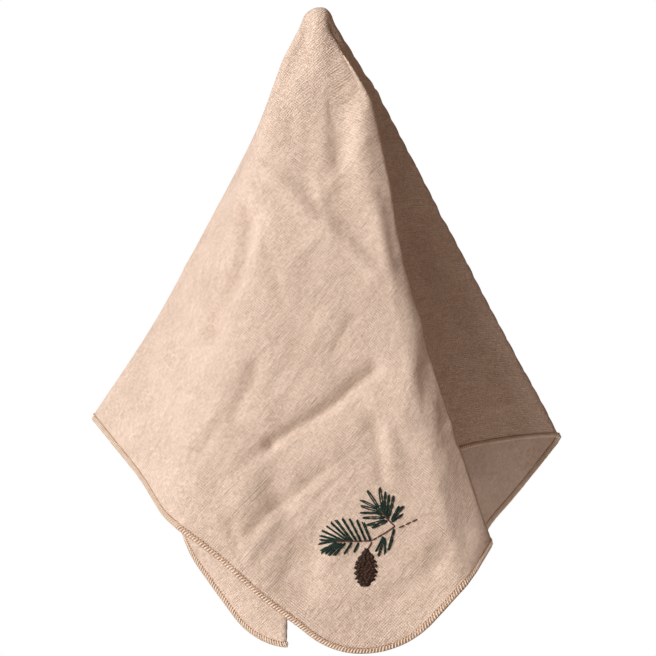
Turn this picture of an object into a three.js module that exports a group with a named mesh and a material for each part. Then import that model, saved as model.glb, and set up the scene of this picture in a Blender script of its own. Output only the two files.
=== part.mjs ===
// Square linen napkin with rounded corners, hanging from its middle.
// The origin is the point that holds it up. +Z is up, the embroidered corner hangs to the front (-Y).
// The cloth is a sheet drawn together at the tip: each straight line from the middle of the flat
// square to its cut edge stays straight as it hangs, and the fold table gives the way it points.

import * as THREE from "three";

// Driving dimensions, in millimetres
const SIDE = 457;
const CORNER_RADIUS = 38;
const SHEET_THICKNESS = 1.0;
const TIP_RADIUS = 8;

// The tip bends over this many degrees before the folds begin
const TIP_BEND = 64;

// Each row is one fold. bearing: its place round the flat square, in degrees from the embroidered
// corner. across and back: how far it leans to the right and to the rear from straight down, in
// degrees. lean: what is added to across beside the tip, which dies away over the length fade.
// soft: how wide the fold is rounded, in millimetres.
const FOLDS = [
  { name: "front corner", bearing: 0, across: 5.6, back: -10.0, lean: 0, fade: 150, soft: 30 },
  { name: "flap ridge", bearing: 8, across: 13.5, back: -11.1, lean: 15, fade: 150, soft: 3.5 },
  { name: "right flap", bearing: 13.5, across: 17.2, back: -9.2, lean: 27, fade: 150, soft: 4 },
  { name: "behind flap", bearing: 32, across: 2.2, back: 1.6, lean: 30, fade: 60, soft: 8 },
  { name: "behind flap end", bearing: 35, across: 3.0, back: 3.2, lean: 30, fade: 60, soft: 8 },
  { name: "right panel", bearing: 50, across: 17.4, back: 12.6, lean: 0, fade: 150, soft: 14 },
  { name: "right ridge", bearing: 66, across: 29.5, back: 14.4, lean: -8, fade: 60, soft: 3.5 },
  { name: "right ridge end", bearing: 68.5, across: 28.7, back: 16.2, lean: -8, fade: 60, soft: 3.5 },
  { name: "right rear", bearing: 75, across: 23.3, back: 18.4, lean: 0, fade: 150, soft: 8 },
  { name: "right rear low", bearing: 83, across: 18.2, back: 23.0, lean: 0, fade: 150, soft: 12 },
  { name: "right corner", bearing: 91, across: 14.8, back: 26.5, lean: 0, fade: 150, soft: 12 },
  { name: "first rear ridge", bearing: 97, across: 11.6, back: 27.5, lean: 0, fade: 150, soft: 9 },
  { name: "first rear valley", bearing: 116, across: 9.6, back: 10.5, lean: 0, fade: 150, soft: 9 },
  { name: "first valley end", bearing: 122, across: 7.4, back: 10.0, lean: 0, fade: 150, soft: 9 },
  { name: "second rear ridge", bearing: 142, across: 4.6, back: 25.5, lean: 0, fade: 150, soft: 9 },
  { name: "second ridge end", bearing: 147, across: 0.4, back: 26.0, lean: 0, fade: 150, soft: 9 },
  { name: "rear valley", bearing: 167, across: 2.2, back: 8.6, lean: 0, fade: 150, soft: 9 },
  { name: "rear valley end", bearing: 173, across: -0.4, back: 8.8, lean: 0, fade: 150, soft: 9 },
  { name: "third rear ridge", bearing: 192, across: -6.0, back: 26.0, lean: 0, fade: 150, soft: 9 },
  { name: "third ridge end", bearing: 197, across: -10.0, back: 25.0, lean: 0, fade: 150, soft: 9 },
  { name: "left rear valley", bearing: 215, across: -4.6, back: 10.8, lean: 0, fade: 150, soft: 9 },
  { name: "left valley end", bearing: 220, across: -6.6, back: 9.8, lean: 0, fade: 150, soft: 9 },
  { name: "fourth rear ridge", bearing: 238, across: -15.0, back: 23.5, lean: 0, fade: 150, soft: 9 },
  { name: "fourth ridge end", bearing: 243, across: -18.0, back: 20.5, lean: 0, fade: 150, soft: 9 },
  { name: "inner fold", bearing: 267.5, across: -3.4, back: 3.8, lean: 0, fade: 150, soft: 3 },
  { name: "inner fold end", bearing: 269.5, across: -1.5, back: 1.2, lean: 0, fade: 150, soft: 3 },
  { name: "inner panel", bearing: 281, across: -12.2, back: 8.5, lean: 0, fade: 150, soft: 8 },
  { name: "left rear ridge", bearing: 299, across: -22.5, back: 22.0, lean: 0, fade: 150, soft: 9 },
  { name: "left ridge", bearing: 317.5, across: -29.5, back: 9.8, lean: 9, fade: 300, soft: 3.5 },
  { name: "left shoulder", bearing: 333, across: -19.9, back: -2.2, lean: -14, fade: 150, soft: 14 },
  { name: "left front", bearing: 341.5, across: -14.8, back: -8.2, lean: 0, fade: 150, soft: 20 },
];

// Where the lower cloth hangs a little aside: bearing and spread in degrees, the shift to the right
// and up at the cut edge in millimetres, and how fast it grows towards that edge.
const SWAYS = [
  { name: "front corner drawn left", bearing: 0, spread: 7, right: -6.0, up: 0, growth: 3 },
  { name: "hem dips left of the corner", bearing: 350.5, spread: 3.5, right: -0.8, up: -2.0, growth: 4 },
  { name: "left hem bulge", bearing: 339.5, spread: 4.5, right: -1.7, up: -2.0, growth: 4 },
  { name: "right corner drawn in", bearing: 67, spread: 6, right: -1.6, up: 0, growth: 6 },
  { name: "right rear hem drawn in", bearing: 86, spread: 5, right: -2.2, up: 0, growth: 4 },
];

// Where a flank of the hanging cloth stands further to the right (or left, when shift is negative)
// than its folds: the side it is on, how far below the tip and over what spread, and how far from
// the middle the shift begins and is whole. All in millimetres.
const FLANKS = [
  { name: "tip on the left", side: -1, drop: 24, spread: 20, shift: -1.8, from: 2, whole: 12 },
  { name: "tip on the right", side: 1, drop: 5, spread: 9, shift: -1.7, from: 1, whole: 8 },
  { name: "right shoulder", side: 1, drop: 42, spread: 22, shift: 1.0, from: 4, whole: 16 },
  { name: "left flank", side: -1, drop: 152, spread: 38, shift: 2.5, from: 20, whole: 60 },
  { name: "right flank", side: 1, drop: 150, spread: 50, shift: -1.4, from: 20, whole: 60 },
];

// Each row is one soft crease in the front. Its ends are places on the flat square, to the right of
// and down from its middle, where down is towards the embroidered corner. rise is how far it stands
// out, or sinks in when it is negative, and width is how wide it spreads to each side.
const CREASES = [
  { name: "pressed diagonal", right0: -36, down0: 75, right1: 14, down1: 136, rise: 1.8, width: 8 },
  { name: "cross trough", right0: -54, down0: 218, right1: 4, down1: 181, rise: -2.6, width: 9 },
  { name: "cross bank", right0: -66, down0: 239, right1: 8, down1: 196, rise: 1.2, width: 8 },
  { name: "upper left wedge", right0: -38, down0: 106, right1: -58, down1: 138, rise: -2.2, width: 9 },
  { name: "flap shoulder", right0: 8, down0: 62, right1: 10, down1: 98, rise: 1.6, width: 8 },
  { name: "flap bump", right0: 26, down0: 156, right1: 28, down1: 184, rise: 1.8, width: 8 },
  { name: "lower left trough", right0: -38, down0: 225, right1: -54, down1: 264, rise: -2.6, width: 9 },
  { name: "lower right trough", right0: 2, down0: 284, right1: 33, down1: 262, rise: -1.8, width: 9 },
];

// How the sheet is divided: rings from the tip to the cut edge, as shares of the way out
const TIP_RINGS = [0.013, 0.027, 0.045, 0.075, 0.12, 0.18];
const LOWER_RINGS = [0.25, 0.32, 0.39, 0.46, 0.53, 0.6, 0.67, 0.74, 0.81, 0.87, 0.935, 1];
const RING_SHARES = [...TIP_RINGS, ...LOWER_RINGS];
const FOLD_SPOKES = [-0.8, 0, 0.8];
const WIDEST_SPOKE_GAP = 5.2;
const CORNER_SPOKES = [-5.2, -3.5, -1.7, 0, 1.7, 3.5, 5.2];
const CLOSEST_CORNER_SPOKE = 0.9;
const LONGEST_BLUR = 35;
const TIP_EASE = 3;
const TIP_EASE_REACH = 80;
const ROUND_TIP_BLUR = 50;
const ROUND_TIP_REACH = 30;
const BLUR_STEPS = 4;
const PROBE = 0.4;

const LINEN = { color: 0xd9c0ab, roughness: 0.92, metalness: 0 };

const radians = THREE.MathUtils.degToRad;
const HALF = SIDE / 2;
const FULL_TURN = 360;
const QUARTER_TURN = FULL_TURN / 4;
const CORNER_BEARINGS = [0, QUARTER_TURN, 2 * QUARTER_TURN, 3 * QUARTER_TURN];

// Distance from the middle of the flat square to its cut edge at a bearing
function cutEdge(bearing) {
  const half = QUARTER_TURN / 2;
  const fromCorner = THREE.MathUtils.euclideanModulo(bearing + half, QUARTER_TURN) - half;
  const arcCentre = Math.SQRT2 * (HALF - CORNER_RADIUS);
  const angle = radians(Math.abs(fromCorner));
  const straightFrom = Math.PI / 4 - Math.atan((HALF - CORNER_RADIUS) / HALF);
  if (angle > straightFrom) {
    return HALF / Math.cos(Math.PI / 4 - angle);
  }
  const beside = arcCentre * Math.sin(angle);
  return arcCentre * Math.cos(angle) + Math.sqrt(CORNER_RADIUS ** 2 - beside ** 2);
}

// The two rows on either side of a bearing, and how far it lies from the first to the second
function neighbours(bearing) {
  const turned = THREE.MathUtils.euclideanModulo(bearing, FULL_TURN);
  let first = FOLDS.length - 1;
  while (FOLDS[first].bearing > turned) {
    first -= 1;
  }
  const second = (first + 1) % FOLDS.length;
  const end = second === 0 ? FULL_TURN : FOLDS[second].bearing;
  const share = (turned - FOLDS[first].bearing) / (end - FOLDS[first].bearing);
  return { from: FOLDS[first], to: FOLDS[second], share };
}

// Sideways and rearward run of one fold for each millimetre of fall, at a reach from the tip
function foldSlope(fold, reach) {
  const left = Math.max(0, 1 - reach / fold.fade);
  const across = fold.across + fold.lean * left ** 2;
  return new THREE.Vector2(Math.tan(radians(across)), Math.tan(radians(fold.back)));
}

function plainSlope(bearing, reach) {
  const { from, to, share } = neighbours(bearing);
  return foldSlope(from, reach).lerp(foldSlope(to, reach), share);
}

// The slope averaged over a spread of bearings, which rounds the folds
function blurredSlope(bearing, reach, spread) {
  const sum = new THREE.Vector2();
  let total = 0;
  for (let step = -BLUR_STEPS; step <= BLUR_STEPS; step += 1) {
    const offset = step / BLUR_STEPS;
    const weight = 1 - offset ** 2;
    sum.addScaledVector(plainSlope(bearing + offset * spread, reach), weight);
    total += weight;
  }
  return sum.divideScalar(total);
}

function foldSpread(bearing, reach) {
  const { from, to, share } = neighbours(bearing);
  const soft = THREE.MathUtils.lerp(from.soft, to.soft, share);
  const eased = soft + TIP_EASE * Math.max(0, 1 - reach / TIP_EASE_REACH);
  return Math.min(THREE.MathUtils.radToDeg(eased / Math.max(reach, TIP_RADIUS)), LONGEST_BLUR);
}

// The way the rounded tip faces at a bearing, level and one unit long: halfway between the way the
// flat square faces there and the way the folds below lean
const tipMiddle = new THREE.Vector2();
for (let bearing = 0; bearing < FULL_TURN; bearing += 1) {
  tipMiddle.addScaledVector(blurredSlope(bearing, ROUND_TIP_REACH, ROUND_TIP_BLUR), 1 / FULL_TURN);
}

function tipFacing(bearing) {
  const flat = new THREE.Vector2(Math.sin(radians(bearing)), -Math.cos(radians(bearing)));
  const folded = blurredSlope(bearing, ROUND_TIP_REACH, ROUND_TIP_BLUR).sub(tipMiddle).normalize();
  return folded.add(flat).normalize();
}

function turnBetween(first, second) {
  const apart = THREE.MathUtils.euclideanModulo(first - second, FULL_TURN);
  return Math.min(apart, FULL_TURN - apart);
}

function sway(bearing, distance) {
  const shift = new THREE.Vector3();
  for (const row of SWAYS) {
    const off = turnBetween(bearing, row.bearing) / row.spread;
    const share = Math.exp(-(off ** 2)) * (distance / cutEdge(bearing)) ** row.growth;
    shift.addScaledVector(new THREE.Vector3(row.right, 0, row.up), share);
  }
  return shift;
}

function flankShift(place) {
  let shift = 0;
  for (const row of FLANKS) {
    const share = THREE.MathUtils.smoothstep(row.side * place.x, row.from, row.whole);
    shift += row.shift * share * Math.exp(-(((-place.z - row.drop) / row.spread) ** 2));
  }
  return shift;
}

// The hanging place of the flat point at a bearing and a distance from the middle, with no creases
function hang(bearing, distance) {
  const overTip = TIP_RADIUS * radians(TIP_BEND);
  const bend = Math.min(distance, overTip) / TIP_RADIUS;
  const facing = tipFacing(bearing).multiplyScalar(TIP_RADIUS * Math.sin(bend));
  const place = new THREE.Vector3(facing.x, facing.y, -TIP_RADIUS * (1 - Math.cos(bend)));
  const slope = blurredSlope(bearing, distance, foldSpread(bearing, distance));
  const fall = new THREE.Vector3(slope.x, slope.y, -1).normalize();
  place.addScaledVector(fall, Math.max(distance - overTip, 0));
  place.x += flankShift(place);
  return place.add(sway(bearing, distance));
}

// How far one crease lifts the flat point, falling off smoothly beside and past its ends
function creaseRise(crease, right, down) {
  const start = new THREE.Vector2(crease.right0, crease.down0);
  const along = new THREE.Vector2(crease.right1, crease.down1).sub(start);
  const point = new THREE.Vector2(right, down).sub(start);
  const share = THREE.MathUtils.clamp(point.dot(along) / along.lengthSq(), 0, 1);
  const beside = point.addScaledVector(along, -share).length() / crease.width;
  return crease.rise * Math.exp(-(beside ** 2));
}

function relief(bearing, distance) {
  const right = distance * Math.sin(radians(bearing));
  const down = distance * Math.cos(radians(bearing));
  return CREASES.reduce((sum, crease) => sum + creaseRise(crease, right, down), 0);
}

// Outward direction of a surface given by a function of bearing and distance
function outward(surface, bearing, distance) {
  const turn = THREE.MathUtils.radToDeg(PROBE / distance);
  const away = surface(bearing, distance + PROBE).sub(surface(bearing, distance - PROBE));
  const round = surface(bearing + turn, distance).sub(surface(bearing - turn, distance));
  return away.cross(round).normalize();
}

function creased(bearing, distance) {
  const lift = relief(bearing, distance);
  return hang(bearing, distance).addScaledVector(outward(hang, bearing, distance), lift);
}

// Bearings of the spokes: three on each fold, a fan on each rounded corner of the cloth, and more
// where two of these lie far apart
function spokeBearings() {
  const marks = [];
  for (const fold of FOLDS) {
    const spread = foldSpread(fold.bearing, cutEdge(fold.bearing));
    marks.push(...FOLD_SPOKES.map((share) => fold.bearing + share * spread));
  }
  for (const corner of CORNER_BEARINGS) {
    const fan = CORNER_SPOKES.map((spoke) => corner + spoke);
    const clear = (spoke) => marks.every((mark) => turnBetween(mark, spoke) > CLOSEST_CORNER_SPOKE);
    marks.push(...fan.filter(clear));
  }
  const turned = marks.map((mark) => THREE.MathUtils.euclideanModulo(mark, FULL_TURN));
  turned.sort((first, second) => first - second);
  const bearings = [];
  turned.forEach((start, index) => {
    const last = index === turned.length - 1;
    const end = last ? turned[0] + FULL_TURN : turned[index + 1];
    const pieces = Math.ceil((end - start) / WIDEST_SPOKE_GAP);
    for (let piece = 0; piece < pieces; piece += 1) {
      bearings.push(start + ((end - start) * piece) / pieces);
    }
  });
  return bearings;
}

// One skin of the sheet: the tip's point, then each ring's points
function skin(bearings, offset) {
  const points = [new THREE.Vector3(0, 0, offset)];
  for (const share of RING_SHARES) {
    for (const bearing of bearings) {
      const distance = share * cutEdge(bearing);
      const normal = outward(creased, bearing, distance);
      points.push(creased(bearing, distance).addScaledVector(normal, offset));
    }
  }
  return points;
}

// Triangles of one skin with its faces pointing outward
function skinFaces(count) {
  const faces = [];
  for (let spoke = 0; spoke < count; spoke += 1) {
    const next = (spoke + 1) % count;
    faces.push([0, 1 + spoke, 1 + next]);
    for (let ring = 1; ring < RING_SHARES.length; ring += 1) {
      const inner = 1 + (ring - 1) * count;
      const outer = inner + count;
      faces.push([inner + spoke, outer + spoke, outer + next]);
      faces.push([inner + spoke, outer + next, inner + next]);
    }
  }
  return faces;
}

function clothGeometry() {
  const bearings = spokeBearings();
  const count = bearings.length;
  const outer = skin(bearings, SHEET_THICKNESS / 2);
  const inner = skin(bearings, -SHEET_THICKNESS / 2);
  const shift = outer.length;
  const faces = skinFaces(count);
  const lining = faces.map(([first, second, third]) => [first + shift, third + shift, second + shift]);
  const edge = [];
  const hem = 1 + (RING_SHARES.length - 1) * count;
  for (let spoke = 0; spoke < count; spoke += 1) {
    const here = hem + spoke;
    const next = hem + ((spoke + 1) % count);
    edge.push([here, here + shift, next + shift], [here, next + shift, next]);
  }
  const geometry = new THREE.BufferGeometry();
  const places = [...outer, ...inner].flatMap((point) => point.toArray());
  geometry.setAttribute("position", new THREE.Float32BufferAttribute(places, 3));
  geometry.setIndex([...faces, ...lining, ...edge].flat());
  geometry.computeVertexNormals();
  return geometry;
}

const napkin = new THREE.Group();
const cloth = new THREE.Mesh(clothGeometry(), new THREE.MeshStandardMaterial(LINEN));
cloth.name = "napkin_cloth";
napkin.add(cloth);

export default napkin;
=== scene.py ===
import bpy
import numpy as np
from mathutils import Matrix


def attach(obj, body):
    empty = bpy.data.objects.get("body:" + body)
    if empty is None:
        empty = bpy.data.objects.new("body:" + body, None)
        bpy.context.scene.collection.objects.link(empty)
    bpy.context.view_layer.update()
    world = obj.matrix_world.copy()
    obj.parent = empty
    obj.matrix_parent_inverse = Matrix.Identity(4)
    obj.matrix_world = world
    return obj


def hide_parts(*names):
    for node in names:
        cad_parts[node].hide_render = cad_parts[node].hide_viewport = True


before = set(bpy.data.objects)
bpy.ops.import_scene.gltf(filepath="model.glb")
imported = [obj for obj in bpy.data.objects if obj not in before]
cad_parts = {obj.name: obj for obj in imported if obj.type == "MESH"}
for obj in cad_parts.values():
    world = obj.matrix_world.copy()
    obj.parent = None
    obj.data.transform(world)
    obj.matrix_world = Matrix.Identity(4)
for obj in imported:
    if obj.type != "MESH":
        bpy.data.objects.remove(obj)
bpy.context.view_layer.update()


# Camera: level with the middle of the hanging napkin and in front of its embroidered corner, far
# enough back for the mild perspective of a product picture.

CAMERA_DISTANCE = 1.2
VIEW_MIDDLE_X = 0.003776
VIEW_MIDDLE_Z = -0.15104
VIEW_WIDTH = 0.3096
SENSOR_WIDTH = 36

camera_data = bpy.data.cameras.new("picture_camera")
camera_data.sensor_width = SENSOR_WIDTH
camera_data.lens = SENSOR_WIDTH * CAMERA_DISTANCE / VIEW_WIDTH
camera_data.clip_start = 0.05
camera = bpy.data.objects.new("picture_camera", camera_data)
camera.location = (VIEW_MIDDLE_X, -CAMERA_DISTANCE, VIEW_MIDDLE_Z)
camera.rotation_euler = (np.pi / 2, 0, 0)
bpy.context.scene.collection.objects.link(camera)
bpy.context.scene.camera = camera


# Cloth: one square of washed linen with rounded corners, held at its middle and hanging in deep
# uneven folds. It is woven in one piece; the creases are what pressing and handling left in it.

SIDE = 0.457
HALF = SIDE / 2
CORNER_RADIUS = 0.038
SHEET_THICKNESS = 0.0007
TIP_RADIUS = 0.008
TIP_BEND = np.radians(64)

# bearing round the flat square from the embroidered corner, lean across and to the back in
# degrees, extra lean across beside the tip and the reach in mm over which it fades, softness in mm
FOLDS = (
    ("front corner", 0, 5.6, -10.0, 0, 150, 30),
    ("flap ridge", 8, 13.5, -11.1, 15, 150, 3.5),
    ("right flap", 13.5, 17.2, -9.2, 27, 150, 4),
    ("behind flap", 32, 2.2, 1.6, 30, 60, 8),
    ("behind flap end", 35, 3.0, 3.2, 30, 60, 8),
    ("right panel", 50, 17.4, 12.6, 0, 150, 14),
    ("right ridge", 66, 29.5, 14.4, -8, 60, 3.5),
    ("right ridge end", 68.5, 28.7, 16.2, -8, 60, 3.5),
    ("right rear", 75, 23.3, 18.4, 0, 150, 8),
    ("right rear low", 83, 18.2, 23.0, 0, 150, 12),
    ("right corner", 91, 14.8, 26.5, 0, 150, 12),
    ("first rear ridge", 97, 11.6, 27.5, 0, 150, 9),
    ("first rear valley", 116, 9.6, 10.5, 0, 150, 9),
    ("first valley end", 122, 7.4, 10.0, 0, 150, 9),
    ("second rear ridge", 142, 4.6, 25.5, 0, 150, 9),
    ("second ridge end", 147, 0.4, 26.0, 0, 150, 9),
    ("rear valley", 167, 2.2, 8.6, 0, 150, 9),
    ("rear valley end", 173, -0.4, 8.8, 0, 150, 9),
    ("third rear ridge", 192, -6.0, 26.0, 0, 150, 9),
    ("third ridge end", 197, -10.0, 25.0, 0, 150, 9),
    ("left rear valley", 215, -4.6, 10.8, 0, 150, 9),
    ("left valley end", 220, -6.6, 9.8, 0, 150, 9),
    ("fourth rear ridge", 238, -15.0, 23.5, 0, 150, 9),
    ("fourth ridge end", 243, -18.0, 20.5, 0, 150, 9),
    ("inner fold", 267.5, -3.4, 3.8, 0, 150, 3),
    ("inner fold end", 269.5, -1.5, 1.2, 0, 150, 3),
    ("inner panel", 281, -12.2, 8.5, 0, 150, 8),
    ("left rear ridge", 299, -22.5, 22.0, 0, 150, 9),
    ("left ridge", 317.5, -29.5, 9.8, 9, 300, 3.5),
    ("left shoulder", 333, -19.9, -2.2, -14, 150, 14),
    ("left front", 341.5, -14.8, -8.2, 0, 150, 20),
)
FOLD_BEARING, FOLD_ACROSS, FOLD_BACK, FOLD_LEAN = np.radians([row[1:5] for row in FOLDS]).T
FOLD_FADE, FOLD_SOFT = np.array([row[5:7] for row in FOLDS]).T / 1000
FULL_TURN = 2 * np.pi

# where the lower cloth hangs a little aside: bearing and spread in degrees, shift right and up in mm
# at the cut edge, and how fast it grows towards that edge
SWAYS = (
    ("front corner drawn left", 0, 7, -6.0, 0.0, 3),
    ("hem dips left of the corner", 350.5, 3.5, -0.8, -2.0, 4),
    ("left hem bulge", 339.5, 4.5, -1.7, -2.0, 4),
    ("right corner drawn in", 67, 6, -1.6, 0.0, 6),
    ("right rear hem drawn in", 86, 5, -2.2, 0.0, 4),
)

# where a flank stands further right than its folds: side, distance below the tip and its spread,
# shift, and how far from the middle the shift begins and is whole, all in mm
FLANKS = (
    ("tip on the left", -1, 24, 20, -1.8, 2, 12),
    ("tip on the right", 1, 5, 9, -1.7, 1, 8),
    ("right shoulder", 1, 42, 22, 1.0, 4, 16),
    ("left flank", -1, 152, 38, 2.5, 20, 60),
    ("right flank", 1, 150, 50, -1.4, 20, 60),
)

# the widest rounding of a fold, the extra softness beside the tip and the reach over which it fades,
# and the wide rounding, at one reach, from which the tip itself takes the way it faces
LONGEST_BLUR = np.radians(35)
TIP_EASE = 0.003
TIP_EASE_REACH = 0.08
ROUND_TIP_BLUR = np.radians(50)
ROUND_TIP_REACH = 0.03
TIP_DIRECTIONS = 360
BLUR_STEPS = 9
BLUR_OFFSETS = np.linspace(-1, 1, BLUR_STEPS)
BLUR_WEIGHTS = (1 - BLUR_OFFSETS**2) / (1 - BLUR_OFFSETS**2).sum()
NEAR_ZERO = 1e-12


def unit(vectors):
    """The same directions with a length of one."""
    return vectors / np.maximum(np.linalg.norm(vectors, axis=-1, keepdims=True), NEAR_ZERO)


def cut_edge(bearing):
    """Distance from the middle of the flat square to its cut edge."""
    off_corner = np.abs(np.mod(bearing + np.pi / 4, np.pi / 2) - np.pi / 4)
    arc_centre = np.sqrt(2) * (HALF - CORNER_RADIUS)
    beside = np.minimum(arc_centre * np.sin(off_corner), CORNER_RADIUS)
    on_arc = arc_centre * np.cos(off_corner) + np.sqrt(CORNER_RADIUS**2 - beside**2)
    on_side = HALF / np.cos(np.pi / 4 - off_corner)
    straight_from = np.pi / 4 - np.arctan((HALF - CORNER_RADIUS) / HALF)
    return np.where(off_corner > straight_from, on_side, on_arc)


def fold_share(bearing):
    """The fold row before a bearing, the one after it, and the share of the way between them."""
    turned = np.mod(bearing, FULL_TURN)
    before = np.searchsorted(FOLD_BEARING, turned, side="right") - 1
    after = (before + 1) % len(FOLDS)
    end = np.where(after == 0, FULL_TURN, FOLD_BEARING[after])
    return before, after, (turned - FOLD_BEARING[before]) / (end - FOLD_BEARING[before])


def fold_slope(bearing, reach):
    """Sideways and rearward run of the cloth for each metre of fall."""
    before, after, share = fold_share(bearing)

    def slope(row):
        across = FOLD_ACROSS[row] + FOLD_LEAN[row] * np.maximum(0, 1 - reach / FOLD_FADE[row]) ** 2
        return np.stack([np.tan(across), np.tan(FOLD_BACK[row])], -1)

    return slope(before) * (1 - share)[..., None] + slope(after) * share[..., None]


def rounded_slope(bearing, reach, spread):
    """The slope averaged over a spread of bearings, which rounds the folds."""
    parts = zip(BLUR_OFFSETS, BLUR_WEIGHTS)
    return sum(weight * fold_slope(bearing + offset * spread, reach) for offset, weight in parts)


round_the_tip = np.linspace(0, FULL_TURN, TIP_DIRECTIONS, endpoint=False)
near_tip = np.full(TIP_DIRECTIONS, ROUND_TIP_REACH)
tip_middle = rounded_slope(round_the_tip, near_tip, ROUND_TIP_BLUR).mean(0)


def sway(bearing, reach):
    """How far the lower cloth hangs aside."""
    shift = np.zeros(np.shape(bearing) + (3,))
    for _, middle, spread, aside, up, growth in SWAYS:
        off = np.degrees(np.mod(bearing - np.radians(middle) + np.pi, FULL_TURN) - np.pi) / spread
        share = np.exp(-(off**2)) * (reach / cut_edge(bearing)) ** growth / 1000
        shift += share[..., None] * np.array([aside, 0, up])
    return shift


def flank_shift(place):
    """How far the flanks of the hanging cloth stand to the right of its folds."""
    shift = 0
    for _, side, drop, spread, aside, start, whole in FLANKS:
        share = np.clip((side * place[..., 0] * 1000 - start) / (whole - start), 0, 1)
        level = np.exp(-(((-place[..., 2] * 1000 - drop) / spread) ** 2))
        shift = shift + aside / 1000 * level * share**2 * (3 - 2 * share)
    return shift[..., None] * np.array([1, 0, 0])


def hang(right, down):
    """Where a point of the flat square hangs, with no creases."""
    bearing = np.arctan2(right, down)
    reach = np.hypot(right, down)
    flat_way = np.stack([np.sin(bearing), -np.cos(bearing)], -1)
    fold_way = rounded_slope(bearing, np.full_like(reach, ROUND_TIP_REACH), ROUND_TIP_BLUR) - tip_middle
    facing = unit(unit(fold_way) + flat_way)
    over_tip = TIP_RADIUS * TIP_BEND
    bend = np.minimum(reach, over_tip) / TIP_RADIUS
    level = TIP_RADIUS * np.sin(bend)[..., None] * facing
    place = np.concatenate([level, -TIP_RADIUS * (1 - np.cos(bend))[..., None]], -1)
    before, after, share = fold_share(bearing)
    soft = FOLD_SOFT[before] * (1 - share) + FOLD_SOFT[after] * share
    eased = soft + TIP_EASE * np.maximum(0, 1 - reach / TIP_EASE_REACH)
    spread = np.minimum(eased / np.maximum(reach, TIP_RADIUS), LONGEST_BLUR)
    slope = rounded_slope(bearing, reach, spread)
    fall = unit(np.concatenate([slope, -np.ones_like(reach)[..., None]], -1))
    place = place + np.maximum(reach - over_tip, 0)[..., None] * fall
    return place + flank_shift(place) + sway(bearing, reach)


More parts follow.
